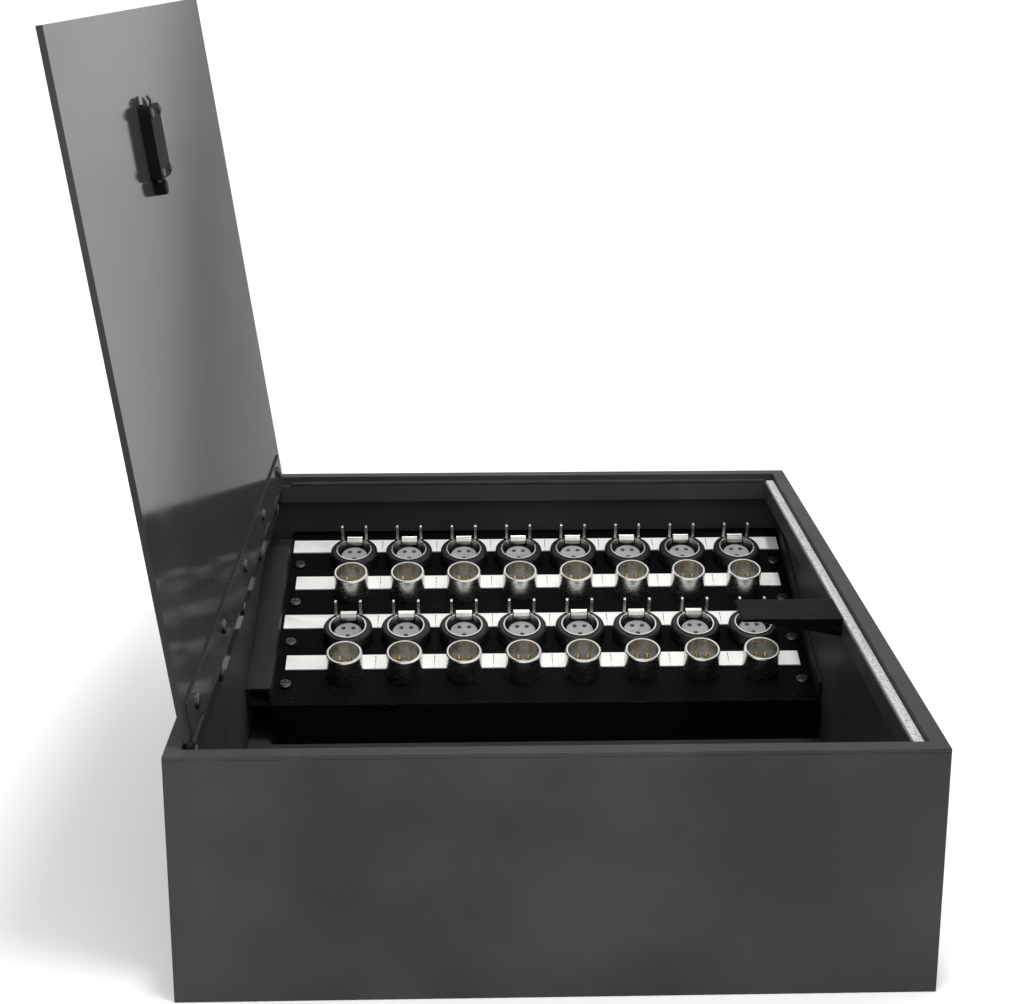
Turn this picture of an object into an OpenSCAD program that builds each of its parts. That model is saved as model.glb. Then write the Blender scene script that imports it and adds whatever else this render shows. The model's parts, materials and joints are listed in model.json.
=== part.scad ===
// Audio patch bay: a black steel box with a lid hinged on its left side.
// Inside, a sloping panel carries rows of panel connectors over a backplane board.
// Origin: middle of the box's underside. +X right, +Y to the back, +Z up. Millimetres.

/* [Box] */
// Outer width of the box, left to right
box_w = 305; // [304:1:312]
// Outer depth of the box, front to back
box_d = 381; // [378:1:400]
// Height of the rim above the mounting face
box_h = 106; // [105:1:116]
// Thickness of the folded steel sheet
sheet = 1.5; // [1.2:0.1:1.6]
// Width of the flat outer part of the rim
rim_flat = 7; // [6:0.5:8]
// Width of the lowered ledge inside the rim
ledge_w = 5; // [4:0.5:6]

/* [Lid] */
// Length of the lid from the hinge axis to its free edge
lid_len = 278; // [276:1:284]
// Thickness of the lid sheet
lid_t = 2.5; // [2:0.1:2.6]
// Angle between the open lid and the closed lid
open_angle = 98; // [92:1:105]

/* [Connectors] */
// Number of connectors in a row
columns = 8; // [6:1:8]
// Distance between neighbouring connectors in a row
column_pitch = 31.75; // [31.5:0.05:32]
// Distance between rows, measured along the panel
row_pitch = 34.5; // [34:0.5:35]
// Slope of the panel, rising to the back
panel_tilt = 18; // [17:0.5:19]
// Height of a male barrel above the panel
barrel_h = 15; // [14:0.5:16]
// Height of a female body above the panel
body_h = 8; // [7.5:0.1:8.5]
// How far a release tab can be pressed in
tab_travel = 1.5; // [1:0.1:1.6]

/* [Latch] */
// How far the latch bolt slides back
bolt_travel = 5; // [4:0.5:5]

/* [Hidden] */
rows = 4;
release_tabs = [for (i = [1 : 2 * columns]) str("release_tab_", i)];

$fn = 48;
eps = 0.01;              // overshoot that keeps cuts clean
gap = 0.1;               // clearance between parts that lie on each other
fit_gap = 0.02;          // clearance of pieces that are pushed into each other

// Box
inner_x = box_w / 2 - sheet;                 // inner faces of the side walls
inner_y = box_d / 2 - sheet;
rest_t = 2;                                  // foam and rubber strips on the ledges
ledge_z = box_h - lid_t - rest_t - gap;    // top of the ledge
lip_h = 8;                                   // stiffening lip below the ledge
rim_in = rim_flat + ledge_w;                 // rim width on three sides
left_flat = 6.2;                             // the left rim ends in the hinge flange
left_flange_h = 22;
mount_hole_r = 3.5;
mount_dx = 250;
mount_dy = 330;
entry_x = 80;                                // cable entries in the back wall
entry_z = 24;
entry_r = 11.2;

// Hinge
hinge_x = -box_w / 2 + 8.5;
hinge_z = box_h - lid_t / 2;
knuckle_r = 2.25;
leaf_t = 1;
pin_r = 1.2;
pin_bore_r = 1.25;
hinge_len = 352;
knuckles = 14;
knuckle_len = hinge_len / knuckles;
leaf_w = 17;
leaf_screws = 5;
leaf_screw_pitch = 80;
leaf_screw_r = 1.6;

// Lid, in its own frame: x from the hinge axis to the free edge, z out of its outer face
lid_start = 3.2;
lid_half_d = box_d / 2 - rim_flat - 1;

// Latch, in the lid's frame, in front of the lid's middle
latch_x0 = 205;
latch_x1 = 237;
latch_y = -31;
latch_half_w = 12;
latch_t = 5.3;
latch_wall = 1.5;
latch_cover_t = 1.1;
latch_corner_r = 2;
cavity_half_w = 8.2;
latch_screw_y = 9.9;
latch_screw_inset = 3;
latch_screw_r = 1;
bolt_top = -3.4;                             // face of the bolt towards the lid
bolt_t = 1.8;
bolt_x0 = 217;
bolt_x1 = latch_x1 - latch_wall;
prong_tip = 241;
prong_y = 5.2;
prong_half_w = 2.6;
arm_y = -4.5;
arm_half_w = 2.4;
knob_x = 201.3;
knob_r = 3.4;
slider_x = 225;
slider_pin_r = 1.2;
spring_y = [0.4, 5.2];
spring_r = 1.05;                             // outer radius of the springs
spring_wire_r = 0.2;

// Strike on the right rim's lip, just above the prongs of the closed latch
strike_t = 1.45;
strike_top = hinge_z + bolt_top + 0.3 + strike_t;
strike_x0 = hinge_x + latch_x1 + 0.5;
strike_x1 = box_w / 2 - rim_in - gap;
strike_flange_t = 2;
strike_half_w = 13;
strike_drop = 9;
strike_screw_drop = 5;
strike_screw_y = 7;

// Panel and its own frame: origin on the top face at the middle of the back row,
// x right, y up the slope, z out of the panel
panel_cx = 10.5;
row1_y = box_d / 2 - 30;
row1_z = box_h - 44.2;
panel_back = (inner_y - 0.5 - row1_y) / cos(panel_tilt) - sheet * tan(panel_tilt);
panel_front = -(rows - 1) * row_pitch - 20;
panel_x0 = -137.9;
panel_x1 = inner_x - 1.8;
male_shift = 4.5;                            // male rows stand this much closer to their strip
strip_y0 = 7.5;
strip_y1 = 19;
strip_t = 0.8;

// Brackets, in the panel's frame
bracket_front = panel_front + 3;
bracket_low = -12;
bracket_back = panel_back + bracket_low * tan(panel_tilt) - 1;
cheek_back = 2;                              // the raised cheek ends at the back row
cheek_h = 9;
shelf_w = 12;

// Connectors
female_flange_r = 13.8;
female_top_r = 13.3;
female_bore_r = 10.2;
female_rear_r = 11.8;
female_hole_r = 12;
female_rear = 18;                            // depth behind the panel's top face
insert_r = 7.5;
insert_top = 4.5;                            // face of the female insert, recessed in the body
ring_in_r = 9.5;
contact_circle_r = 3.8;
contact_r = 1.3;
contact_bore_r = 0.95;
tail_r = 0.6;
tab_half_w = 4.5;
tab_y0 = 7.9;
tab_y1 = 11.6;
tab_z0 = body_h - 2.8;
guard_x = 6.8;
guard_h = 10;
male_r = 9.6;
male_cup_r = 8.3;
male_insert_r = 7.8;
male_rear_r = 8.8;
male_hole_r = 9;
male_floor = 1.5;                            // cup floor above the panel
male_rear = 14;
male_pin_r = 1.2;
male_pin_top = 9.3;

// Backplane board, in the panel's frame
board_t = 1.6;
board_z = -19.9;
board_half_w = 122;
board_y0 = -(rows - 1) * row_pitch - 10;
board_y1 = 12;
standoff_r = 3;

function column_x(c) = panel_cx + (c - (columns - 1) / 2) * column_pitch;
function is_female(r) = r % 2 == 0;
function row_y(r) = -r * row_pitch + (is_female(r) ? 0 : male_shift);
contact_angles = [45, 135, 270];

module on_panel() {
    translate([0, row1_y, row1_z]) rotate([panel_tilt, 0, 0]) children();
}

module at_connector(c, r) {
    on_panel() translate([column_x(c), row_y(r), 0]) children();
}

module at_all(female) {
    for (r = [0 : rows - 1])
        if (is_female(r) == female)
            for (c = [0 : columns - 1]) at_connector(c, r) children();
}

module on_lid() {
    translate([hinge_x, 0, hinge_z]) rotate([0, -open_angle, 0]) children();
}

module span(lo, hi) {
    translate(lo) cube(hi - lo);
}

// A block with four rounded upright edges
module rounded_block(lo, hi, r) {
    span([lo[0] + r, lo[1], lo[2]], [hi[0] - r, hi[1], hi[2]]);
    span([lo[0], lo[1] + r, lo[2]], [hi[0], hi[1] - r, hi[2]]);
    for (x = [lo[0] + r, hi[0] - r], y = [lo[1] + r, hi[1] - r])
        translate([x, y, lo[2]]) cylinder(r = r, h = hi[2] - lo[2]);
}

// A tube whose flat ends are at z0 and z1
module tube(r_out, r_in, z0, z1) {
    translate([0, 0, z0]) difference() {
        cylinder(r = r_out, h = z1 - z0);
        translate([0, 0, -eps]) cylinder(r = r_in, h = z1 - z0 + 2 * eps);
    }
}

// Pan-head screw with its head above z = 0 and its shank below
module pan_screw(r, shank) {
    difference() {
        union() {
            rotate_extrude()
                polygon([[0, 0], [2 * r, 0], [2 * r, 0.7 * r], [1.5 * r, 1.1 * r], [0, 1.1 * r]]);
            translate([0, 0, -shank]) cylinder(r = r, h = shank + eps);
        }
        for (a = [0, 90]) rotate([0, 0, a])
            span([-1.2 * r, -0.2 * r, 0.6 * r], [1.2 * r, 0.2 * r, 2 * r]);
    }
}

module hex_nut(across_r, bore_r, z0, z1) {
    translate([0, 0, z0]) difference() {
        cylinder(r = across_r, h = z1 - z0, $fn = 6);
        translate([0, 0, -eps]) cylinder(r = bore_r, h = z1 - z0 + 2 * eps);
    }
}

// ---------------------------------------------------------------- box

// A band that follows the walls, from one inset to another, on all four sides
module rim_band(out, in, left_out, left_in, z0, z1) {
    difference() {
        span([-box_w / 2 + left_out, -box_d / 2 + out, z0], [box_w / 2 - out, box_d / 2 - out, z1]);
        span([-box_w / 2 + left_in, -box_d / 2 + in, z0 - 1], [box_w / 2 - in, box_d / 2 - in, z1 + 1]);
    }
}

// The same band on the front, right and back only, starting at the hinge flange
module three_sided_band(out, in, z0, z1) {
    intersection() {
        rim_band(out, in, -50, -40, z0, z1);
        span([-box_w / 2 + left_flat - sheet, -box_d, z0], [box_w, box_d, z1]);
    }
}

// Folded tray: the floor and four walls
module box() {
    wall_top = box_h - sheet - gap;
    color("#1b1b1c") difference() {
        union() {
            span([-box_w / 2, -box_d / 2, 0], [box_w / 2, box_d / 2, sheet]);
            rim_band(0, sheet, 0, sheet, 0, wall_top);
        }
        for (x = [-1, 1], y = [-1, 1])
            translate([x * mount_dx / 2, y * mount_dy / 2, -eps])
                cylinder(r = mount_hole_r, h = sheet + 2 * eps);
        for (x = [-1, 1])
            translate([x * entry_x, inner_y - 1, entry_z]) rotate([-90, 0, 0])
                cylinder(r = entry_r, h = sheet + 2);
    }
}

// Frame on top of the walls: a flat rim, a lowered ledge and lip on three sides, a hinge flange on the left
module rim_frame() {
    color("#1b1b1c") {
        rim_band(0, rim_flat, 0, left_flat, box_h - sheet, box_h);
        three_sided_band(rim_flat - sheet, rim_flat, ledge_z - sheet, box_h);
        three_sided_band(rim_flat - sheet, rim_in, ledge_z - sheet, ledge_z);
        three_sided_band(rim_in - sheet, rim_in, ledge_z - sheet - lip_h, ledge_z);
        span([-box_w / 2 + left_flat - sheet, -inner_y + gap, box_h - left_flange_h],
             [-box_w / 2 + left_flat, inner_y - gap, box_h]);
    }
}

// Foam on the right ledge guards the cables that leave beside the closed lid's free edge
module edge_foam() {
    inset = 0.3;
    color("#8b8d8e")
        span([box_w / 2 - rim_in + inset, -box_d / 2 + rim_in, ledge_z],
             [box_w / 2 - rim_flat - inset, box_d / 2 - rim_in, ledge_z + rest_t]);
}

// Rubber strips on the front and back ledges, where the closed lid lies
module lid_rests() {
    inset = 0.3;
    color("#161617") for (side = [0, 1]) mirror([0, side, 0])
        span([hinge_x + 6, box_d / 2 - rim_in + inset, ledge_z],
             [box_w / 2 - rim_in, box_d / 2 - rim_flat - inset, ledge_z + rest_t]);
}

// ---------------------------------------------------------------- lid and hinge

module at_latch_screws() {
    for (x = [latch_x0 + latch_screw_inset, latch_x1 - latch_screw_inset], y = [-1, 1])
        translate([x, latch_y + y * latch_screw_y, 0]) children();
}

module lid() {
    slot_r = 2.5;
    color("#1d1d1e") on_lid() difference() {
        span([lid_start, -lid_half_d, -lid_t / 2], [lid_len, lid_half_d, lid_t / 2]);
        span([slider_x - bolt_travel - slot_r, latch_y - slot_r, -lid_t],
             [slider_x + slot_r, latch_y + slot_r, lid_t]);
        at_latch_screws() translate([0, 0, -lid_t]) cylinder(r = latch_screw_r + gap, h = 2 * lid_t);
    }
}

// Knuckles number first, first + 2, ... along Y round the hinge axis
module hinge_knuckles(first) {
    for (k = [first : 2 : knuckles - 1])
        translate([0, -hinge_len / 2 + k * knuckle_len + 0.15, 0]) rotate([-90, 0, 0])
            tube(knuckle_r, pin_bore_r, 0, knuckle_len - 0.3);
}

// Tongues that join a leaf to its own knuckles, with the leaf's plane at z = -knuckle_r
module hinge_leaf(first) {
    difference() {
        union() {
            span([knuckle_r + 0.4, -hinge_len / 2, -knuckle_r], [leaf_w, hinge_len / 2, -knuckle_r + leaf_t]);
            for (k = [first : 2 : knuckles - 1])
                translate([0, -hinge_len / 2 + k * knuckle_len, 0])
                    span([0, 0.15, -knuckle_r], [knuckle_r + 1, knuckle_len - 0.15, -knuckle_r + leaf_t]);
            hinge_knuckles(first);
        }
        translate([0, -hinge_len, 0]) rotate([-90, 0, 0]) cylinder(r = pin_bore_r, h = 2 * hinge_len);
        for (i = [0 : leaf_screws - 1])
            translate([leaf_w - 6, (i - (leaf_screws - 1) / 2) * leaf_screw_pitch, -knuckle_r - 1])
                cylinder(r = leaf_screw_r + gap, h = leaf_t + 2);
    }
}

module at_leaf_screws() {
    for (i = [0 : leaf_screws - 1])
        translate([leaf_w - 6, (i - (leaf_screws - 1) / 2) * leaf_screw_pitch, -knuckle_r])
            children();
}

// The box leaf hangs down inside the left flange, so its frame is turned to point down
module on_box_leaf() {
    translate([hinge_x, 0, hinge_z]) rotate([0, 90, 0]) children();
}

module hinge_box_leaf() {
    color("#5c5d60") on_box_leaf() hinge_leaf(0);
}

module hinge_lid_leaf() {
    color("#5c5d60") on_lid() hinge_leaf(1);
}

module hinge_pin() {
    color("#a9abae") translate([hinge_x, -hinge_len / 2 - 1, hinge_z]) rotate([-90, 0, 0])
        cylinder(r = pin_r, h = hinge_len + 2);
}

module hinge_box_screws() {
    color("#77787b") on_box_leaf() at_leaf_screws() translate([0, 0, leaf_t]) pan_screw(leaf_screw_r, leaf_t);
}

module hinge_lid_screws() {
    color("#77787b") on_lid() at_leaf_screws() rotate([180, 0, 0]) pan_screw(leaf_screw_r, leaf_t);
}

// ---------------------------------------------------------------- latch on the lid

// The latch's own frame lies in the lid's frame, at the middle of the latch's width
module on_latch() {
    on_lid() translate([0, latch_y, 0]) children();
}

module latch_housing() {
    face = -lid_t / 2;
    bottom = face - latch_t;
    slot_w = arm_half_w + 0.4;
    color("#2b2c2e") difference() {
        on_latch() rounded_block([latch_x0, -latch_half_w, bottom], [latch_x1, latch_half_w, face],
                                 latch_corner_r);
        on_latch() span([latch_x0 + latch_wall, -cavity_half_w, bottom + latch_cover_t],
                        [latch_x1 + 1, cavity_half_w, face + 1]);
        on_latch() span([latch_x0 - 1, arm_y - slot_w, bolt_top - bolt_t - 0.2],
                        [latch_x0 + latch_wall + 1, arm_y + slot_w, face + 1]);
        on_lid() at_latch_screws() translate([0, 0, bottom - 1])
            cylinder(r = latch_screw_r + gap, h = latch_t + 2);
    }
}

// Fork with two bevelled prongs and an arm that carries the knob
module latch_bolt() {
    bevel = 2;
    bolt_half_w = cavity_half_w - 0.3;
    color("#3c3d40") on_latch() difference() {
        union() {
            span([bolt_x0, -bolt_half_w, bolt_top - bolt_t], [bolt_x1, bolt_half_w, bolt_top]);
            for (y = [-1, 1]) translate([0, y * prong_y - prong_half_w, 0])
                rotate([-90, 0, 0]) linear_extrude(2 * prong_half_w) polygon([
                    [bolt_x1 - eps, -bolt_top], [prong_tip, -bolt_top], [prong_tip, -bolt_top + 0.5],
                    [prong_tip - bevel, -bolt_top + bolt_t], [bolt_x1 - eps, -bolt_top + bolt_t]]);
            span([knob_x - 1, arm_y - arm_half_w, bolt_top - bolt_t],
                 [bolt_x0 + eps, arm_y + arm_half_w, bolt_top]);
        }
        translate([slider_x, 0, bolt_top - bolt_t - 1]) cylinder(r = slider_pin_r + fit_gap, h = bolt_t + 2);
    }
}

// Round thumb knob pushed onto the end of the arm
module latch_knob() {
    top = -lid_t / 2 - 0.3;
    bottom = -lid_t / 2 - latch_t;
    color("#242527") on_latch() difference() {
        translate([knob_x, arm_y, 0]) rotate_extrude()
            polygon([[0, bottom], [knob_r - 0.6, bottom], [knob_r, bottom + 0.6], [knob_r, top], [0, top]]);
        span([knob_x - 1 - fit_gap, arm_y - arm_half_w - fit_gap, bolt_top - bolt_t - fit_gap],
             [knob_x + knob_r + 1, arm_y + arm_half_w + fit_gap, bolt_top + fit_gap]);
    }
}

// Ribbed finger pad on the lid's outer face, joined to the bolt through the lid's slot
module latch_slider() {
    pad_x = 11;
    pad_y = 9;
    pad_h = 3.2;
    pad_z0 = lid_t / 2 + gap;
    stem_r = 2.2;
    groove_pitch = 3.6;
    groove_w = 1.5;
    color("#242527") on_latch() translate([slider_x, 0, 0]) {
        difference() {
            span([-pad_x, -pad_y, pad_z0], [pad_x, pad_y, pad_z0 + pad_h]);
            for (i = [-2 : 2]) translate([i * groove_pitch, 0, pad_z0 + pad_h]) rotate([45, 0, 90])
                cube([2 * pad_y + 2, groove_w, groove_w], center = true);
        }
        translate([0, 0, bolt_top + fit_gap]) cylinder(r = stem_r, h = pad_z0 - bolt_top);
        translate([0, 0, bolt_top - bolt_t]) cylinder(r = slider_pin_r, h = bolt_t + gap);
    }
}

// Coil spring along +X from x = 0: a round wire swept round a helix
module coil(radius, wire_r, turns, length) {
    steps = 12;
    sides = 8;
    n = turns * steps;
    function ring_point(i, j) =
        let (a = 360 * i / steps, b = 360 * j / sides, rr = radius + wire_r * cos(b))
        [wire_r + (length - 2 * wire_r) * i / n + wire_r * sin(b), rr * cos(a), rr * sin(a)];
    points = [for (i = [0 : n], j = [0 : sides - 1]) ring_point(i, j)];
    walls = [for (i = [0 : n - 1], j = [0 : sides - 1])
        let (k = (j + 1) % sides) [i * sides + j, i * sides + k, (i + 1) * sides + k, (i + 1) * sides + j]];
    caps = [[for (j = [sides - 1 : -1 : 0]) j], [for (j = [0 : sides - 1]) n * sides + j]];
    polyhedron(points, concat(walls, caps));
}

module latch_springs() {
    x0 = latch_x0 + latch_wall;
    color("#b4b6b8") on_latch() for (y = spring_y)
        translate([x0 + 0.05, y, bolt_top - bolt_t / 2])
            coil(spring_r - spring_wire_r, spring_wire_r, 10, bolt_x0 - x0 - 0.1);
}

module latch_screws() {
    color("#77787b") on_lid() at_latch_screws() translate([0, 0, -lid_t / 2 - latch_t])
        rotate([180, 0, 0]) pan_screw(latch_screw_r, latch_t + lid_t);
}

// Frames on the strike's inner face with z pointing through it, into the rim's lip
module at_strike_screws() {
    for (y = [-1, 1])
        translate([strike_x1 - strike_flange_t, latch_y + y * strike_screw_y, strike_top - strike_screw_drop])
            rotate([0, 90, 0]) children();
}

// Keeper that the prongs slide under, screwed to the lip of the right rim
module strike_bracket() {
    y0 = latch_y - strike_half_w;
    y1 = latch_y + strike_half_w;
    color("#1b1b1c") difference() {
        union() {
            span([strike_x0, y0, strike_top - strike_t], [strike_x1, y1, strike_top]);
            span([strike_x1 - strike_flange_t, y0, strike_top - strike_drop], [strike_x1, y1, strike_top]);
            for (y = [y0, y1 - sheet]) translate([0, y, 0]) rotate([90, 0, 0]) mirror([0, 0, 1])
                linear_extrude(sheet) polygon([
                    [strike_x1, strike_top], [strike_x1, strike_top - strike_drop],
                    [strike_x0 + 8, strike_top - strike_t], [strike_x0 + 8, strike_top]]);
        }
        at_strike_screws() translate([0, 0, -1]) cylinder(r = 1.7, h = strike_flange_t + 2);
    }
}

module strike_screws() {
    color("#77787b") at_strike_screws() rotate([180, 0, 0]) pan_screw(1.6, strike_flange_t);
}

// ---------------------------------------------------------------- panel and brackets

// Screws along the panel's edges stand in the bare stretches between the strips
function edge_screw_y(i) = -i * row_pitch - 4;

module connector_panel() {
    front_y = row1_y + panel_front * cos(panel_tilt);
    front_z = row1_z + panel_front * sin(panel_tilt);
    color("#1b1b1c") {
        difference() {
            union() {
                on_panel() span([panel_x0, panel_front, -sheet], [panel_x1, panel_back, 0]);
                span([panel_x0, front_y, sheet + gap], [panel_x1, front_y + sheet, front_z]);
            }
            at_all(true) translate([0, 0, -3]) cylinder(r = female_hole_r, h = 6);
            at_all(false) translate([0, 0, -3]) cylinder(r = male_hole_r, h = 6);
            on_panel() for (x = [panel_x0 + 6, panel_x1 - 6]) edge_screw_holes(x);
        }
    }
}

module edge_screw_holes(x) {
    for (i = [0 : rows - 1]) translate([x, edge_screw_y(i), -6]) cylinder(r = 1.7, h = 12);
}

wall_screws = 3;
wall_screw_z = -7.5;
function wall_screw_y(i) = -15 - i * 45;

module wall_screw_holes(x) {
    for (i = [0 : wall_screws - 1]) translate([x, wall_screw_y(i), wall_screw_z]) rotate([0, 90, 0])
        cylinder(r = 1.7, h = sheet + 2);
}

// Flange on the wall and a shelf below the panel's edge, between two x values
module bracket_angle(wall_x0, wall_x1, shelf_x0, shelf_x1) {
    span([wall_x0, bracket_front, bracket_low], [wall_x1, bracket_back, 0]);
    span([shelf_x0, bracket_front, -2 * sheet - gap], [shelf_x1, bracket_back, -sheet - gap]);
}

// The left bracket also has a raised cheek beside the panel, with a flange out to the wall
module left_bracket() {
    wall_x = -inner_x + gap;
    cheek_x = panel_x0 - gap;
    color("#3a3b3d") on_panel() difference() {
        union() {
            bracket_angle(wall_x, wall_x + sheet, wall_x, cheek_x + shelf_w);
            span([cheek_x - sheet, bracket_front, -2 * sheet - gap], [cheek_x, cheek_back, cheek_h]);
            span([wall_x, bracket_front, cheek_h - sheet], [cheek_x, cheek_back, cheek_h]);
            span([wall_x, bracket_front, -eps], [wall_x + sheet, cheek_back, cheek_h]);
        }
        edge_screw_holes(panel_x0 + 6);
        wall_screw_holes(wall_x - 1);
    }
}

module right_bracket() {
    wall_x = inner_x - gap;
    color("#3a3b3d") on_panel() difference() {
        union() {
            bracket_angle(wall_x - sheet, wall_x, panel_x1 - shelf_w, wall_x);
            span([wall_x - sheet, bracket_front, -eps], [wall_x, bracket_back, cheek_h]);
        }
        edge_screw_holes(panel_x1 - 6);
        wall_screw_holes(wall_x - sheet - 1);
    }
}

// Screws whose heads show inside, holding each bracket to its side wall
module bracket_screws() {
    wall_x = inner_x - gap - sheet;
    color("#77787b") on_panel() for (side = [-1, 1], i = [0 : wall_screws - 1])
        translate([side * wall_x, wall_screw_y(i), wall_screw_z]) rotate([0, -side * 90, 0])
            pan_screw(1.6, sheet);
}

module panel_screws() {
    color("#3c3d40") on_panel() for (x = [panel_x0 + 6, panel_x1 - 6], i = [0 : rows - 1])
        translate([x, edge_screw_y(i), 0]) pan_screw(1.6, 5);
}

// White strips behind the connectors, notched round each body, shorter on the male rows
module write_on_strips() {
    color("#f2f2ee") on_panel() for (r = [0 : rows - 1]) difference() {
        inset = is_female(r) ? 1.2 : 5;
        span([panel_x0 + inset, -r * row_pitch + strip_y0, 0],
             [panel_x1 - inset, -r * row_pitch + strip_y1, strip_t]);
        for (c = [0 : columns - 1]) translate([column_x(c), row_y(r), -1])
            cylinder(r = (is_female(r) ? female_flange_r : male_r) + 0.2, h = 3);
    }
}

// ---------------------------------------------------------------- female connectors

module female_shells() {
    pocket = tab_half_w + 0.2;
    color("#1a1a1b") at_all(true) difference() {
        rotate_extrude() polygon([
            [female_bore_r, -female_rear], [female_rear_r, -female_rear], [female_rear_r, 0],
            [female_flange_r, 0], [female_flange_r, 3], [female_top_r, body_h - 1],
            [female_top_r - 1, body_h], [female_bore_r, body_h]]);
        span([-pocket, 0, tab_z0 - tab_travel - 0.2], [pocket, tab_y1 + 0.2, body_h + 1]);
    }
}

// Bright ground ring that lines the mouth of each female body, open below the release tab
module female_rings() {
    color("#c9cacb") at_all(true) difference() {
        tube(female_bore_r - fit_gap, ring_in_r, 2, body_h + 0.5);
        span([-tab_half_w - 0.4, 0, 3], [tab_half_w + 0.4, female_flange_r, body_h + 1]);
    }
}

module female_inserts() {
    color("#6c6d6f") at_all(true) difference() {
        rotate_extrude() polygon([
            [0, -female_rear], [female_bore_r - fit_gap, -female_rear], [female_bore_r - fit_gap, -10],
            [insert_r, -10],
            [insert_r, insert_top - 0.6], [insert_r - 0.6, insert_top], [0, insert_top]]);
        for (a = contact_angles) rotate([0, 0, a]) translate([contact_circle_r, 0, -female_rear - 1])
            cylinder(r = contact_r + 0.05, h = female_rear + body_h);
    }
}

module female_contacts() {
    color("#c8b27a") at_all(true) for (a = contact_angles) rotate([0, 0, a])
        translate([contact_circle_r, 0, 0]) {
            tube(contact_r, contact_bore_r, -12, insert_top - 1);
            translate([0, 0, -14]) cylinder(r = contact_r, h = 2 + eps);
            translate([0, 0, board_z + gap]) cylinder(r = tail_r, h = -14 - board_z - gap + eps);
        }
}

// Two upright ears beside each release tab keep it from being pressed by accident
module tab_guards() {
    color("#b9babb") at_all(true) for (side = [-1, 1])
        translate([side * guard_x, 0, 0]) span([-0.7, 8.4, body_h], [0.7, 10.4, body_h + guard_h]);
}

module female_nuts() {
    color("#6d6e70") at_all(true) hex_nut(15.4, female_rear_r + 0.05, -sheet - 3.6, -sheet - gap);
}

// Ribbed push tab with the hook that holds the plug
module release_tab(index) {
    c = index % columns;
    r = 2 * floor(index / columns);
    color("#b9babb") at_connector(c, r) rotate([90, 0, 90]) translate([0, 0, -tab_half_w])
        linear_extrude(2 * tab_half_w) polygon([
            [tab_y0, tab_z0], [tab_y1, tab_z0], [tab_y1, body_h + 1.2], [tab_y1 - 0.9, body_h + 1.2],
            [tab_y1 - 1.3, body_h + 0.8], [tab_y1 - 1.7, body_h + 1.2], [tab_y1 - 2.5, body_h + 1.2],
            [tab_y0, body_h - 0.4]]);
}

// ---------------------------------------------------------------- male connectors

module male_shells() {
    color("#c4c5c6") at_all(false) rotate_extrude() polygon([
        [male_insert_r + 0.05, -male_rear], [male_rear_r, -male_rear], [male_rear_r, 0], [male_r, 0],
        [male_r, barrel_h - 0.5], [male_r - 0.5, barrel_h], [male_cup_r, barrel_h],
        [male_cup_r, male_floor], [male_insert_r + 0.05, male_floor]]);
}

module male_inserts() {
    color("#6c6d6f") at_all(false) difference() {
        translate([0, 0, -male_rear]) cylinder(r = male_insert_r, h = male_rear + male_floor);
        for (a = contact_angles) rotate([0, 0, a]) translate([contact_circle_r, 0, -male_rear - 1])
            cylinder(r = male_pin_r + fit_gap, h = male_rear + male_floor + 2);
    }
}

module male_pins() {
    color("#c8b27a") at_all(false) for (a = contact_angles) rotate([0, 0, a])
        translate([contact_circle_r, 0, 0]) {
            rotate_extrude() polygon([
                [0, -male_rear], [male_pin_r, -male_rear], [male_pin_r, male_pin_top - 0.8],
                [male_pin_r - 0.6, male_pin_top], [0, male_pin_top]]);
            translate([0, 0, board_z + gap]) cylinder(r = tail_r, h = -male_rear - board_z - gap + eps);
        }
}

module male_nuts() {
    color("#6d6e70") at_all(false) hex_nut(12.8, male_rear_r + 0.05, -sheet - 3.6, -sheet - gap);
}

// ---------------------------------------------------------------- backplane

standoff_columns = [0, 3, 6];
standoff_rows = [0, 2];

module at_standoffs() {
    on_panel() for (c = standoff_columns, r = standoff_rows)
        if (c < columns - 1)
            translate([column_x(c) + column_pitch / 2, -(r + 0.5) * row_pitch, 0]) children();
}

module backplane_board() {
    color("#1f4a33") difference() {
        on_panel() span([panel_cx - board_half_w, board_y0, board_z - board_t],
                        [panel_cx + board_half_w, board_y1, board_z]);
        at_standoffs() translate([0, 0, board_z - board_t - 1]) cylinder(r = 1.7, h = board_t + 2);
    }
}

module board_standoffs() {
    color("#a9abae") at_standoffs() difference() {
        translate([0, 0, board_z]) cylinder(r = standoff_r, h = -sheet - gap - board_z);
        translate([0, 0, board_z - 1]) cylinder(r = 1.5, h = 8);
    }
}

module board_screws() {
    color("#8b8c8f") at_standoffs() translate([0, 0, board_z - board_t]) rotate([180, 0, 0])
        pan_screw(1.45, board_t + 5);
}

block_count = 4;
block_w = 50;
ways = 10;

module at_blocks() {
    on_panel() for (i = [0 : block_count - 1])
        translate([panel_cx + (i - (block_count - 1) / 2) * 58, -44, board_z - board_t - gap]) children();
}

// Screw terminal blocks on the board's underside for the incoming wires
module terminal_blocks() {
    way = block_w / ways;
    color("#3f7f52") at_blocks() difference() {
        rotate([90, 0, 90]) translate([0, 0, -block_w / 2]) linear_extrude(block_w)
            polygon([[-4, 0], [-4, -10], [2, -10], [4, -6], [4, 0]]);
        for (i = [0 : ways - 1]) translate([(i - (ways - 1) / 2) * way, 0, 0]) {
            span([-1.4, 1.5, -5], [1.4, 5, -2]);
            translate([0, -1, -11]) cylinder(r = 1.7, h = 4);
        }
    }
}

module terminal_screws() {
    way = block_w / ways;
    color("#a9abae") at_blocks() for (i = [0 : ways - 1])
        translate([(i - (ways - 1) / 2) * way, -1, -9]) difference() {
            cylinder(r = 1.6, h = 1.95);
            span([-2, -0.25, -1], [2, 0.25, 0.6]);
        }
}

// ---------------------------------------------------------------- grounding and cable entries

ground_x = -120;
ground_y = 120;

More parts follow.
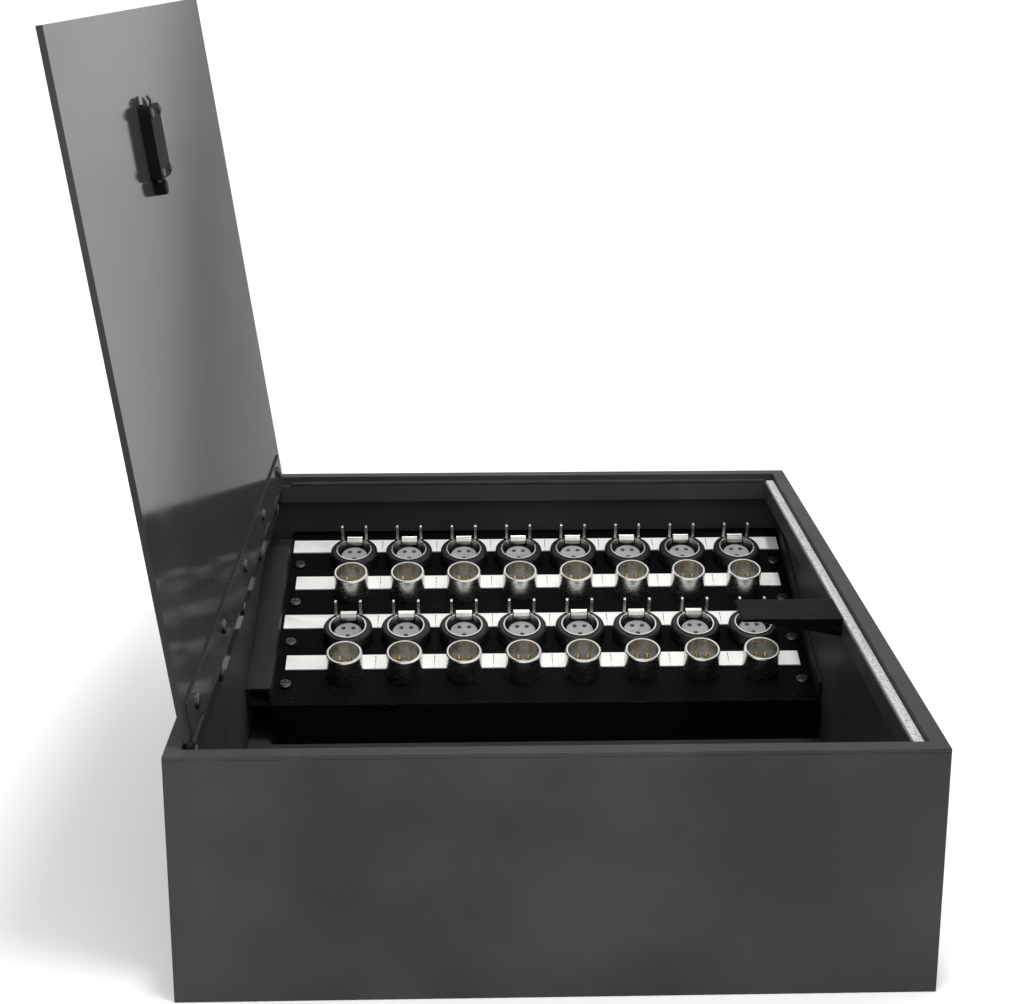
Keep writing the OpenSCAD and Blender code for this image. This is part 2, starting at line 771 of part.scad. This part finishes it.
module ground_stud() {
    color("#b98f45") translate([ground_x, ground_y, sheet]) {
        cylinder(r = 5, h = 1.5);
        cylinder(r = 2.5, h = 18);
    }
}

module ground_nuts() {
    color("#b98f45") translate([ground_x, ground_y, sheet + 1.5]) {
        tube(5.5, 2.55, 0.1, 1.1);
        for (z = [1.2, 6]) hex_nut(4.6, 2.55, z, z + 4);
    }
}

module at_entries() {
    for (x = [-1, 1]) translate([x * entry_x, box_d / 2, entry_z]) rotate([-90, 0, 0]) children();
}

// Threaded bushing through the back wall, with its collar outside
module conduit_bushings() {
    color("#9a9c9f") at_entries() difference() {
        union() {
            cylinder(r = 14, h = 4);
            translate([0, 0, -10.5]) cylinder(r = entry_r - 0.2, h = 11);
        }
        translate([0, 0, -11]) cylinder(r = 8, h = 16);
    }
}

module bushing_locknuts() {
    color("#9a9c9f") at_entries() hex_nut(15, entry_r - 0.15, -sheet - 3.2, -sheet - gap);
}

box();
rim_frame();
edge_foam();
lid_rests();
lid();
hinge_box_leaf();
hinge_lid_leaf();
hinge_pin();
hinge_box_screws();
hinge_lid_screws();
latch_housing();
latch_bolt();
latch_knob();
latch_slider();
latch_springs();
latch_screws();
strike_bracket();
strike_screws();
connector_panel();
left_bracket();
right_bracket();
bracket_screws();
panel_screws();
write_on_strips();
female_shells();
female_rings();
female_inserts();
female_contacts();
tab_guards();
female_nuts();
male_shells();
male_inserts();
male_pins();
male_nuts();
backplane_board();
board_standoffs();
board_screws();
terminal_blocks();
terminal_screws();
ground_stud();
ground_nuts();
conduit_bushings();
bushing_locknuts();
for (i = [0 : 2 * columns - 1])
    release_tab(i);
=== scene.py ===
"""Looks for the audio patch bay: finishes, printed marks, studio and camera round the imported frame."""
import json
import math

import bmesh
import bpy
from mathutils import Matrix, Vector


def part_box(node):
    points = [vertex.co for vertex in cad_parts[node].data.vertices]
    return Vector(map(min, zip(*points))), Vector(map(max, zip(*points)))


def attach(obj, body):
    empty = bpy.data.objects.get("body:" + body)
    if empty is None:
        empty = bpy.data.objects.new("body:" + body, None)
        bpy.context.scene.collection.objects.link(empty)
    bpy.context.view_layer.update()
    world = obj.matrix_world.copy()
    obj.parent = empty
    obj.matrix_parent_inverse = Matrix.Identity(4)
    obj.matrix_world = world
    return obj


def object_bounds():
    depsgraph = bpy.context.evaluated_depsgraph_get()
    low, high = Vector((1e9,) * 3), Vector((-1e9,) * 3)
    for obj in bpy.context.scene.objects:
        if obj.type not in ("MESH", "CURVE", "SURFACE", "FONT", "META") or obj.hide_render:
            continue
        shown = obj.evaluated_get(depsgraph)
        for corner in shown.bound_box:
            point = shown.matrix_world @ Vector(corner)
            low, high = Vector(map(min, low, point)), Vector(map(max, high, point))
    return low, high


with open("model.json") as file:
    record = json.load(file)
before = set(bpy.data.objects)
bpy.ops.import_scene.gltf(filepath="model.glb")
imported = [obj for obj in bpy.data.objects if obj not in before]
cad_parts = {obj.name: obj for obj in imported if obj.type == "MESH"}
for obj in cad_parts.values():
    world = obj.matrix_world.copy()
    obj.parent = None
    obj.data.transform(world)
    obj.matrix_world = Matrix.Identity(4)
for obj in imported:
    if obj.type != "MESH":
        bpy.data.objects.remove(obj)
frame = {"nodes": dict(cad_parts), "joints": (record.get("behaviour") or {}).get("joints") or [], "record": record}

CAD_LOW, CAD_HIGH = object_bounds()
MM = 0.001


# ------------------------------------------------------------------ node helpers

def linear(hex_colour):
    """An sRGB hex colour as linear RGBA."""
    parts = [int(hex_colour[i:i + 2], 16) / 255 for i in (1, 3, 5)]
    return [c / 12.92 if c <= 0.04045 else ((c + 0.055) / 1.055) ** 2.4 for c in parts] + [1.0]


def add(tree, kind, values=None, **settings):
    """Adds a node. values maps an input's name or number to a plain value or to another node's output."""
    made = tree.nodes.new(kind)
    for name, value in settings.items():
        setattr(made, name, value)
    for key, value in (values or {}).items():
        if isinstance(value, bpy.types.NodeSocket):
            tree.links.new(value, made.inputs[key])
        else:
            made.inputs[key].default_value = value
    return made


def start(name):
    """A new material: its tree, its Principled shader and a position that is in metres in the frame."""
    material = bpy.data.materials.new(name)
    material.use_nodes = True
    tree = material.node_tree
    shader = tree.nodes["Principled BSDF"]
    place = add(tree, "ShaderNodeTexCoord").outputs["Object"]
    return material, tree, shader, place


def noise(tree, place, size_mm, detail=3.0, roughness=0.5, stretch=(1, 1, 1)):
    """Noise whose features are about size_mm across, longer where stretch is below 1."""
    scaled = add(tree, "ShaderNodeMapping", {"Vector": place, "Scale": stretch}).outputs["Vector"]
    return add(tree, "ShaderNodeTexNoise", {
        "Vector": scaled, "Scale": 1 / (size_mm * MM), "Detail": detail, "Roughness": roughness,
    }).outputs["Fac"]


def spread(tree, value, low, high, to_low=0.0, to_high=1.0, course="LINEAR"):
    """Stretches low..high of a value to to_low..to_high."""
    return add(tree, "ShaderNodeMapRange", {
        "Value": value, "From Min": low, "From Max": high, "To Min": to_low, "To Max": to_high,
    }, interpolation_type=course).outputs["Result"]


def between(tree, factor, colour_a, colour_b):
    """A colour that goes from one to the other as factor goes from 0 to 1."""
    made = add(tree, "ShaderNodeMix", {"Factor": factor, "A": colour_a, "B": colour_b}, data_type="RGBA")
    return made.outputs["Result"]


def rounded_edges(tree, radius_mm):
    """The surface normal as if every edge were rolled to a radius."""
    return add(tree, "ShaderNodeBevel", {"Radius": radius_mm * MM}, samples=4).outputs["Normal"]


def edge_mask(tree, radius_mm, sharpness=0.25):
    """1 along convex and concave edges, 0 on flat faces. A lower sharpness picks out gentler edges too."""
    flat = add(tree, "ShaderNodeNewGeometry").outputs["Normal"]
    rolled = rounded_edges(tree, radius_mm)
    likeness = add(tree, "ShaderNodeVectorMath", {0: flat, 1: rolled}, operation="DOT_PRODUCT")
    return spread(tree, likeness.outputs["Value"], 1.0, 1.0 - sharpness)


def link(tree, shader, **values):
    """Links outputs to the shader's inputs, with underscores for spaces in their names."""
    for key, value in values.items():
        tree.links.new(value, shader.inputs[key.replace("_", " ")])


def bump(tree, shader, height, depth_mm, strength, normal=None):
    """Raises and lowers the surface by a height pattern, on top of a given normal."""
    values = {"Height": height, "Distance": depth_mm * MM, "Strength": strength}
    if normal:
        values["Normal"] = normal
    made = add(tree, "ShaderNodeBump", values)
    tree.links.new(made.outputs["Normal"], shader.inputs["Normal"])


# ------------------------------------------------------------------ materials

def powder_coated_steel(name, dark, light, gloss, sheen, peel_mm=1.4):
    """Black powder coat: an even satin skin with a fine orange peel, a little dust and rubbed edges.

    sheen is the share of light the lacquer mirrors: low for a dead matt coat, 0.5 for a full gloss.
    """
    material, tree, shader, place = start(name)
    cloud = spread(tree, noise(tree, place, 60, 4), 0.35, 0.65)
    skin = between(tree, cloud, linear(dark), linear(light))
    dust = spread(tree, noise(tree, place, 1.6, 2), 0.66, 0.8, 0.0, 0.35)
    dusty = between(tree, dust, skin, linear("#4c4c4d"))
    wear = add(tree, "ShaderNodeMath", {
        0: edge_mask(tree, 0.8), 1: spread(tree, noise(tree, place, 9, 4), 0.52, 0.68, 0.0, 0.55),
    }, operation="MULTIPLY").outputs["Value"]
    link(tree, shader, Base_Color=between(tree, wear, dusty, linear("#626264")),
         Roughness=spread(tree, noise(tree, place, 25, 3), 0.3, 0.7, gloss - 0.05, gloss + 0.07))
    shader.inputs["Specular IOR Level"].default_value = sheen
    bump(tree, shader, noise(tree, place, peel_mm, 2), 0.05, 0.35, rounded_edges(tree, 0.6))
    return material


def gloss_enamel_steel(name):
    """Gloss black enamel on flat sheet: a dark mirror with faint waves, wipe marks and dust.

    Its mirroring is strongest at the front free corner and fades to the hinge and the back. The fade and
    the low index stand in for surroundings that are dimmer than this white studio; enamel is near 1.5.
    """
    material, tree, shader, place = start(name)
    cloud = spread(tree, noise(tree, place, 90, 4), 0.35, 0.65)
    skin = between(tree, cloud, linear("#303032"), linear("#373739"))
    dust = spread(tree, noise(tree, place, 1.8, 2), 0.68, 0.8, 0.0, 0.3)
    wipes = noise(tree, place, 12, 4, 0.6, (1, 0.25, 0.6))
    towards_corner = (0, -0.8, 1)
    fade = add(tree, "ShaderNodeVectorMath", {0: place, 1: towards_corner}, operation="DOT_PRODUCT")
    link(tree, shader, Base_Color=between(tree, dust, skin, linear("#4a4a4b")),
         Roughness=spread(tree, wipes, 0.35, 0.7, 0.08, 0.15),
         IOR=spread(tree, fade.outputs["Value"], 0.17, 0.6, 1.04, 1.36, "SMOOTHERSTEP"))
    bump(tree, shader, noise(tree, place, 45, 1), 0.1, 0.2, rounded_edges(tree, 0.6))
    return material


def foam_rubber(name):
    """Closed-cell foam strip: matt grey with open cells cut through at the surface."""
    material, tree, shader, place = start(name)
    cell_mm = 0.9
    voronoi = add(tree, "ShaderNodeTexVoronoi", {"Vector": place, "Scale": 1 / (cell_mm * MM)})
    cells = voronoi.outputs["Distance"]
    tone = between(tree, noise(tree, place, 14, 4), linear("#acaeaf"), linear("#cccecf"))
    link(tree, shader, Base_Color=between(tree, spread(tree, cells, 0.5, 0.75), tone, linear("#8c8e8f")),
         Roughness=spread(tree, cells, 0, 1, 0.75, 0.95))
    bump(tree, shader, cells, 0.15, 0.5)
    return material


def plated_steel(name, dark, light, gloss, grain=(1, 0.06, 1), stains="#4b4c4e"):
    """Rolled and plated steel: fine grain along the rolling direction, with duller stains."""
    material, tree, shader, place = start(name)
    grain_height = noise(tree, place, 0.7, 3, 0.6, grain)
    tone = between(tree, spread(tree, grain_height, 0.3, 0.7), linear(dark), linear(light))
    stain = spread(tree, noise(tree, place, 11, 5), 0.55, 0.75, 0.0, 0.45)
    link(tree, shader, Base_Color=between(tree, stain, tone, linear(stains)),
         Roughness=spread(tree, grain_height, 0.25, 0.75, gloss - 0.06, gloss + 0.1))
    shader.inputs["Metallic"].default_value = 1.0
    bump(tree, shader, grain_height, 0.03, 0.3)
    return material


def nickel_plate(name):
    """Satin nickel on a turned or pressed part: bright, slightly warm, with fine turning lines and edges painted
    brighter as a highlight.
    """
    material, tree, shader, place = start(name)
    lines = noise(tree, place, 0.5, 2, 0.5, (0.1, 0.1, 1))
    cloud = spread(tree, noise(tree, place, 7, 4), 0.35, 0.65)
    tone = between(tree, cloud, linear("#c3c1bc"), linear("#dedcd7"))
    # The edges are painted a brighter nickel: a painted highlight.
    link(tree, shader, Base_Color=between(tree, edge_mask(tree, 0.4), tone, linear("#f1efe9")),
         Roughness=spread(tree, lines, 0.3, 0.7, 0.2, 0.34))
    shader.inputs["Metallic"].default_value = 1.0
    bump(tree, shader, lines, 0.02, 0.25)
    return material


def moulded_nylon(name, dark, light, edge_highlight, sheen=0.5, gloss=0.5):
    """Spark-eroded nylon moulding: one dyed colour, fine even grain, edges painted a touch brighter as a
    highlight.
    """
    material, tree, shader, place = start(name)
    grain = noise(tree, place, 0.6, 2)
    tone = between(tree, spread(tree, noise(tree, place, 9, 3), 0.35, 0.65), linear(dark), linear(light))
    # The edges are painted lighter than the moulding: a painted highlight.
    link(tree, shader, Base_Color=between(tree, edge_mask(tree, 0.5), tone, linear(edge_highlight)),
         Roughness=spread(tree, grain, 0.3, 0.7, gloss - 0.06, gloss + 0.08))
    shader.inputs["Specular IOR Level"].default_value = sheen
    bump(tree, shader, grain, 0.05, 0.4)
    return material


def black_rubber(name):
    """Extruded black rubber: dull, a little chalky, with drawn lines along its length."""
    material, tree, shader, place = start(name)
    lines = noise(tree, place, 0.8, 3, 0.6, (0.05, 1, 1))
    chalk = spread(tree, noise(tree, place, 12, 5), 0.5, 0.75, 0.0, 0.5)
    link(tree, shader, Base_Color=between(tree, chalk, linear("#1a1a1b"), linear("#343435")),
         Roughness=spread(tree, lines, 0.3, 0.7, 0.7, 0.85))
    bump(tree, shader, lines, 0.04, 0.4)
    return material


def white_label_plastic(name):
    """White write-on polyester strip: clean matt white with faint graphite rubbed into it."""
    material, tree, shader, place = start(name)
    rubbed = spread(tree, noise(tree, place, 10, 5, 0.6, (0.5, 1, 1)), 0.6, 0.8, 0.0, 0.4)
    link(tree, shader, Base_Color=between(tree, rubbed, linear("#f6f6f3"), linear("#c9c9c6")),
         Roughness=spread(tree, noise(tree, place, 2, 2), 0.3, 0.7, 0.38, 0.5))
    bump(tree, shader, noise(tree, place, 0.5, 2), 0.02, 0.2)
    return material


def plated_brass(name, dark, light):
    """Turned brass, bright where it is plated and browner where it is bare."""
    material, tree, shader, place = start(name)
    tone = between(tree, spread(tree, noise(tree, place, 3, 4), 0.35, 0.65), linear(dark), linear(light))
    lines = noise(tree, place, 0.4, 2, 0.5, (0.1, 0.1, 1))
    link(tree, shader, Base_Color=tone, Roughness=spread(tree, lines, 0.3, 0.7, 0.2, 0.34))
    shader.inputs["Metallic"].default_value = 1.0
    bump(tree, shader, lines, 0.02, 0.2)
    return material


def solder_masked_board(name):
    """Green lacquer over glass laminate, with the copper pattern just showing through."""
    material, tree, shader, place = start(name)
    weave = add(tree, "ShaderNodeTexBrick", {
        "Vector": place, "Scale": 1 / (6 * MM), "Color1": linear("#1d4a33"), "Color2": linear("#1a422e"),
        "Mortar": linear("#245a3e"), "Mortar Size": 0.04,
    })
    link(tree, shader, Base_Color=weave.outputs["Color"],
         Roughness=spread(tree, noise(tree, place, 8, 3), 0.3, 0.7, 0.25, 0.4))
    bump(tree, shader, weave.outputs["Fac"], 0.03, 0.3)
    return material


def printing_ink(name):
    """Dark grey screen ink, thin enough that the strip shows through in places."""
    material, tree, shader, place = start(name)
    thinness = noise(tree, place, 0.8, 3)
    link(tree, shader, Base_Color=between(tree, thinness, linear("#1c1c1d"), linear("#4a4a4b")),
         Roughness=spread(tree, noise(tree, place, 2, 2), 0.3, 0.7, 0.5, 0.65))
    return material


def paper_sweep(name):
    """Pale seamless paper under the object, with a very faint mottle."""
    material, tree, shader, place = start(name)
    mottle = noise(tree, place, 300, 4)
    link(tree, shader, Base_Color=between(tree, mottle, linear("#f4f4f4"), linear("#fafafa")),
         Roughness=spread(tree, noise(tree, place, 40, 3), 0.3, 0.7, 0.8, 0.95))
    bump(tree, shader, noise(tree, place, 3, 3), 0.05, 0.2)
    return material


SLOT_FINISH = {
    "box_paint": powder_coated_steel("powder_coated_steel", "#373738", "#404041", 0.42, 0.04),
    "lid_paint": gloss_enamel_steel("gloss_enamel_steel"),
    # The panel coat is near-black, far darker than the box coat: painted shade standing in for the shade between
    # the connector rows.
    "panel_paint": powder_coated_steel("panel_coat_painted_shade", "#060607", "#0a0a0b", 0.6, 0.04, 1.0),
    "bracket_paint": powder_coated_steel("grey_bracket_coat", "#202123", "#292a2c", 0.5, 0.25, 1.0),
    "gasket_foam": foam_rubber("grey_foam_rubber"),
    "black_rubber": black_rubber("extruded_black_rubber"),
    "blackened_steel": plated_steel("dark_zinc_steel", "#4c4d4f", "#636466", 0.4, stains="#3a3b3d"),
    "bright_steel": plated_steel("bright_zinc_steel", "#a2a4a6", "#bfc1c3", 0.3, stains="#7d7e80"),
    "nickel": nickel_plate("satin_nickel"),
    # The third colour of each moulded nylon is its painted edge highlight.
    "black_plastic": moulded_nylon("black_moulded_nylon", "#101011", "#18181a", "#2c2c2e", 0.04, 0.6),
    "grey_nylon": moulded_nylon("grey_moulded_nylon", "#8b8d8f", "#9d9fa1", "#acaeb0"),
    "label_plastic": white_label_plastic("white_label_plastic"),
    "contact_metal": plated_brass("gold_plated_brass", "#c9ad6c", "#dcc486"),
    "board_laminate": solder_masked_board("solder_masked_board"),
    "terminal_plastic": moulded_nylon("green_terminal_nylon", "#2f6b42", "#3a7a4e", "#5c9a70"),
    "die_cast_black": powder_coated_steel("black_die_casting", "#0d0d0e", "#141415", 0.35, 0.3, 0.6),
    "yellow_brass": plated_brass("bare_brass", "#a98043", "#bf9554"),
}


def dress_nodes():
    """Gives every CAD node the finish of its material slot."""
    for part in frame["record"]["subparts"]:
        material = SLOT_FINISH[part["material_slot"]]
        mesh = frame["nodes"][part["node"]].data
        mesh.materials.clear()
        mesh.materials.append(material)


def soften_edges():
    """Rolls the sharp edges of small nodes. Painted sheet is rounded in its finish instead."""
    radius_mm = {
        "edge_foam": 0.4, "lid_rests": 0.4, "latch_housing": 0.6, "latch_bolt": 0.3,
        "latch_slider": 0.4, "tab_guards": 0.3, "write_on_strips": 0.15,
    }
    radius_mm.update({name: 0.25 for name in frame["nodes"] if name.startswith("release_tab")})
    for name, radius in radius_mm.items():
        node = frame["nodes"][name]
        node.modifiers.new("weld", "WELD").merge_threshold = 0.01 * MM
        bevel = node.modifiers.new("edges", "BEVEL")
        bevel.width = radius * MM
        bevel.segments = 2
        bevel.limit_method = "ANGLE"
        bevel.angle_limit = math.radians(40)
        bevel.use_clamp_overlap = True
        bevel.harden_normals = True


# ------------------------------------------------------------------ printed marks

def panel_turn():
    """Turns panel coordinates (right, up the slope, out of the plate) into the frame's."""
    press = next(joint for joint in frame["joints"] if joint["name"] == "release_tab_1_press")
    out = -Vector(press["axis"]).normalized()
    right = Vector((1, 0, 0))
    return Matrix((right, out.cross(right), out)).transposed().to_4x4()


def connector_columns():
    """The middle of every connector column, left to right."""
    tabs = [name for name in frame["nodes"] if name.startswith("release_tab")]
    return sorted({round(sum(corner.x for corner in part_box(name)) / 2, 5) for name in tabs})


def strip_bands(points):
    """The lower and upper edge of every white strip, up the slope."""
    edges = []
    for height in sorted(point.y for point in points):
        if not edges or height - edges[-1] > 0.1 * MM:
            edges.append(height)
    return list(zip(edges[0::2], edges[1::2]))


def strip_marks():
    """Hairlines printed across the white strips, half-way between neighbouring connectors."""
    turn = panel_turn()
    columns = connector_columns()
    points = [turn.inverted() @ vertex.co for vertex in frame["nodes"]["write_on_strips"].data.vertices]
    line_w = 0.35 * MM
    margin = 1.0 * MM
    ink_t = 0.04 * MM
    ink_z = max(point.z for point in points) + ink_t
    made = bmesh.new()
    for low, high in strip_bands(points):
        for left, right in zip(columns, columns[1:]):
            middle = (left + right) / 2
            bottom = low + margin
            top = high - margin
            corners = [
                made.verts.new(turn @ Vector((middle + side * line_w / 2, y, ink_z)))
                for side, y in ((-1, bottom), (1, bottom), (1, top), (-1, top))
            ]
            made.faces.new(corners)
    mesh = bpy.data.meshes.new("strip_marks")
    made.to_mesh(mesh)
    made.free()
    marks = bpy.data.objects.new("strip_marks", mesh)
    bpy.context.scene.collection.objects.link(marks)
    mesh.materials.append(printing_ink("printing_ink"))
    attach(marks, "box")


# ------------------------------------------------------------------ studio

def sweep():
    """A wide pale floor under the object."""
    half = 6.0  # metres
    mesh = bpy.data.meshes.new("floor")
    below = 0.2 * MM
    low = CAD_LOW.z - below
    corners = [(-half, -half, low), (half, -half, low), (half, half, low), (-half, half, low)]
    mesh.from_pydata(corners, [], [(0, 1, 2, 3)])
    floor = bpy.data.objects.new("floor", mesh)
    bpy.context.scene.collection.objects.link(floor)
    mesh.materials.append(paper_sweep("paper_sweep"))


def area_light(name, place, aim, size, power):
    """A round soft light at place, turned towards aim."""
    lamp = bpy.data.lights.new(name, "AREA")
    lamp.shape = "DISK"
    lamp.size = size
    lamp.energy = power
    holder = bpy.data.objects.new(name, lamp)
    holder.location = place
    holder.rotation_mode = "QUATERNION"
    holder.rotation_quaternion = (Vector(aim) - Vector(place)).to_track_quat("-Z", "Y")
    bpy.context.scene.collection.objects.link(holder)


def studio():
    """White surroundings, and a soft key light from above, 3 degrees to the right of vertical."""
    scene = bpy.context.scene
    world = bpy.data.worlds.new("white_studio")
    scene.world = world
    world.use_nodes = True
    backdrop = world.node_tree.nodes["Background"]
    backdrop.inputs["Color"].default_value = (1, 1, 1, 1)
    backdrop.inputs["Strength"].default_value = 1.12
    middle = (CAD_LOW + CAD_HIGH) / 2
    lean = math.radians(3)
    forward = -0.2
    reach = 1.6
    key = middle + Vector((math.sin(lean), forward, math.cos(lean))) * reach
    area_light("key", key, middle, size=0.22, power=12)
    scene.view_settings.view_transform = "Standard"
    scene.view_settings.look = "None"


def camera():
    """The camera: a long lens, left of the middle and above the rim, placed in box widths."""
    box_low, box_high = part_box("rim_frame")
    width = box_high.x - box_low.x
    lens = bpy.data.cameras.new("camera")
    lens.sensor_width = 36
    lens.lens = 62.36
    lens.shift_y = -0.0879
    lens.clip_start = 0.01
    leftward = 0.112
    back_off = 2.057
    above_rim = 0.981
    look_down = 14.58
    turn_right = 1.467
    holder = bpy.data.objects.new("camera", lens)
    holder.location = (-leftward * width, box_low.y - back_off * width, box_high.z + above_rim * width)
    holder.rotation_euler = (math.radians(90 - look_down), 0, math.radians(-turn_right))
    bpy.context.scene.collection.objects.link(holder)
    bpy.context.scene.camera = holder


camera()
studio()
sweep()
dress_nodes()
soften_edges()
strip_marks()
